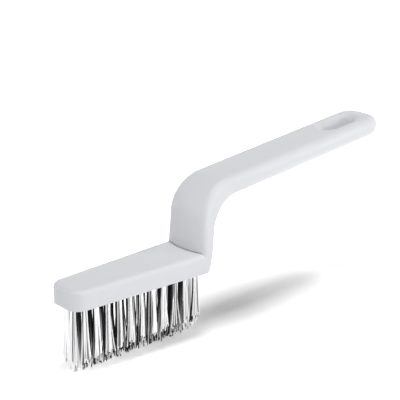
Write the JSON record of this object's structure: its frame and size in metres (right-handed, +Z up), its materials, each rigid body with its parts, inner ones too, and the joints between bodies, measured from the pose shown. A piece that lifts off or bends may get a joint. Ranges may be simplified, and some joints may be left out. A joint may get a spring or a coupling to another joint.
{
  "type": "grout brush",
  "caption": "Hand brush with a tapered bar head, bristles trimmed to a V ridge for narrow joints, a bent neck and a raised flat grip with a hanging slot",
  "frame": {"origin": "middle of the length and width, on the plane of the longest bristle tips", "axes": "+X from the toe of the head to the end of the grip, +Y across the head, +Z up from the bristle tips"},
  "size_m": [0.213, 0.0292, 0.0916],
  "materials": {
    "body_plastic": "pale cool grey moulded polypropylene, satin",
    "white_bristle": "stiff white filaments with some grey ones among them",
    "dark_bristle": "stiff charcoal filaments with some white ones among them",
    "anchor_metal": "thin bright steel strip"
  },
  "bodies": {
    "root": {"handle_body": "body_plastic", "tuft_left_outer_01": "white_bristle", "tuft_left_outer_02": "white_bristle", "tuft_left_outer_03": "white_bristle", "tuft_left_outer_04": "white_bristle", "tuft_left_outer_05": "white_bristle", "tuft_left_outer_06": "white_bristle", "tuft_left_outer_07": "white_bristle", "tuft_left_outer_08": "white_bristle", "tuft_left_outer_09": "white_bristle", "tuft_left_outer_10": "white_bristle", "tuft_left_outer_11": "white_bristle", "tuft_left_inner_01": "dark_bristle", "tuft_left_inner_02": "dark_bristle", "tuft_left_inner_03": "dark_bristle", "tuft_left_inner_04": "dark_bristle", "tuft_left_inner_05": "dark_bristle", "tuft_left_inner_06": "dark_bristle", "tuft_left_inner_07": "dark_bristle", "tuft_left_inner_08": "dark_bristle", "tuft_left_inner_09": "dark_bristle", "tuft_left_inner_10": "dark_bristle", "tuft_left_inner_11": "dark_bristle", "tuft_left_inner_12": "dark_bristle", "tuft_right_outer_01": "white_bristle", "tuft_right_outer_02": "white_bristle", "tuft_right_outer_03": "white_bristle", "tuft_right_outer_04": "white_bristle", "tuft_right_outer_05": "white_bristle", "tuft_right_outer_06": "white_bristle", "tuft_right_outer_07": "white_bristle", "tuft_right_outer_08": "white_bristle", "tuft_right_outer_09": "white_bristle", "tuft_right_outer_10": "white_bristle", "tuft_right_outer_11": "white_bristle", "tuft_right_inner_01": "dark_bristle", "tuft_right_inner_02": "dark_bristle", "tuft_right_inner_03": "dark_bristle", "tuft_right_inner_04": "dark_bristle", "tuft_right_inner_05": "dark_bristle", "tuft_right_inner_06": "dark_bristle", "tuft_right_inner_07": "dark_bristle", "tuft_right_inner_08": "dark_bristle", "tuft_right_inner_09": "dark_bristle", "tuft_right_inner_10": "dark_bristle", "tuft_right_inner_11": "dark_bristle", "tuft_right_inner_12": "dark_bristle", "tuft_anchors": "anchor_metal"}
  },
  "joints": []
}
